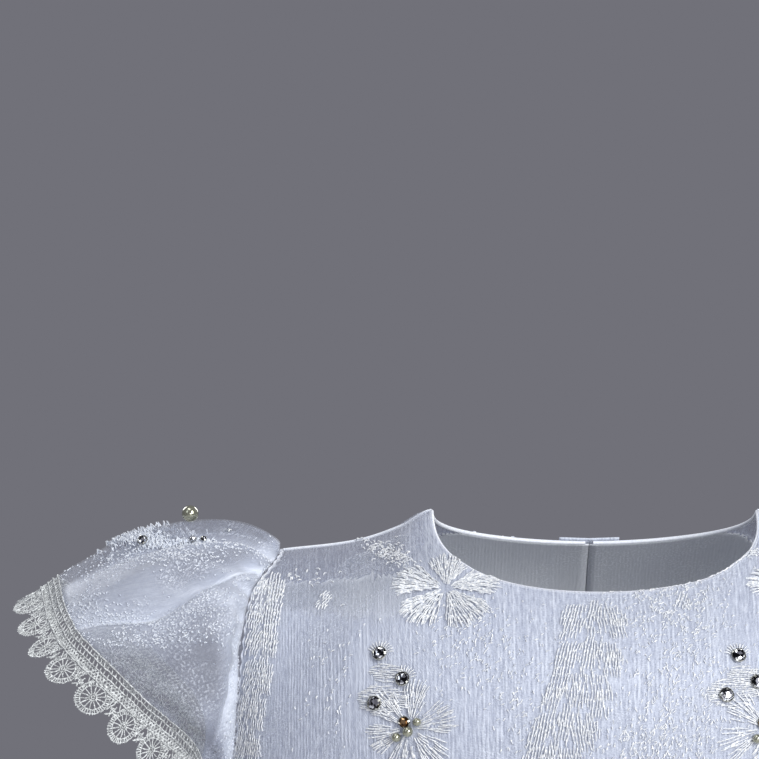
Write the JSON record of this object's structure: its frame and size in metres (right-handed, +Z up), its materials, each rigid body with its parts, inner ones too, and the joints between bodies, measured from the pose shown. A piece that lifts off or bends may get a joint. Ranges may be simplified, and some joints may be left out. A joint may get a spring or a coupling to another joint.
{
  "type": "christening gown",
  "caption": "Baby's long christening gown of embroidered organza with a round neck, puffed cap sleeves edged in scalloped lace, a gathered skirt and a buttoned back.",
  "frame": {"origin": "middle of the neck opening, level with the shoulder seams beside the neck", "axes": "+Z up along the wearer's spine, -Y out of the front of the gown, +X to the wearer's left"},
  "size_m": [0.4742, 0.3684, 0.6208],
  "materials": {
    "bodice_front": "satin",
    "bodice_back_left": "satin",
    "bodice_back_right": "satin",
    "sleeve_left": "satin",
    "sleeve_right": "satin",
    "cuff_lace_left": "matte",
    "cuff_lace_right": "matte",
    "skirt_front": "satin",
    "skirt_back": "satin",
    "back_placket": "satin",
    "button_1": "pearl",
    "button_2": "pearl",
    "button_3": "pearl",
    "button_4": "pearl"
  },
  "bodies": {
    "root": {"bodice_front": "bodice_front", "bodice_back_left": "bodice_back_left", "bodice_back_right": "bodice_back_right", "sleeve_left": "sleeve_left", "sleeve_right": "sleeve_right", "cuff_lace_left": "cuff_lace_left", "cuff_lace_right": "cuff_lace_right", "skirt_front": "skirt_front", "skirt_back": "skirt_back", "back_placket": "back_placket", "button_1": "button_1", "button_2": "button_2", "button_3": "button_3", "button_4": "button_4"}
  },
  "joints": []
}
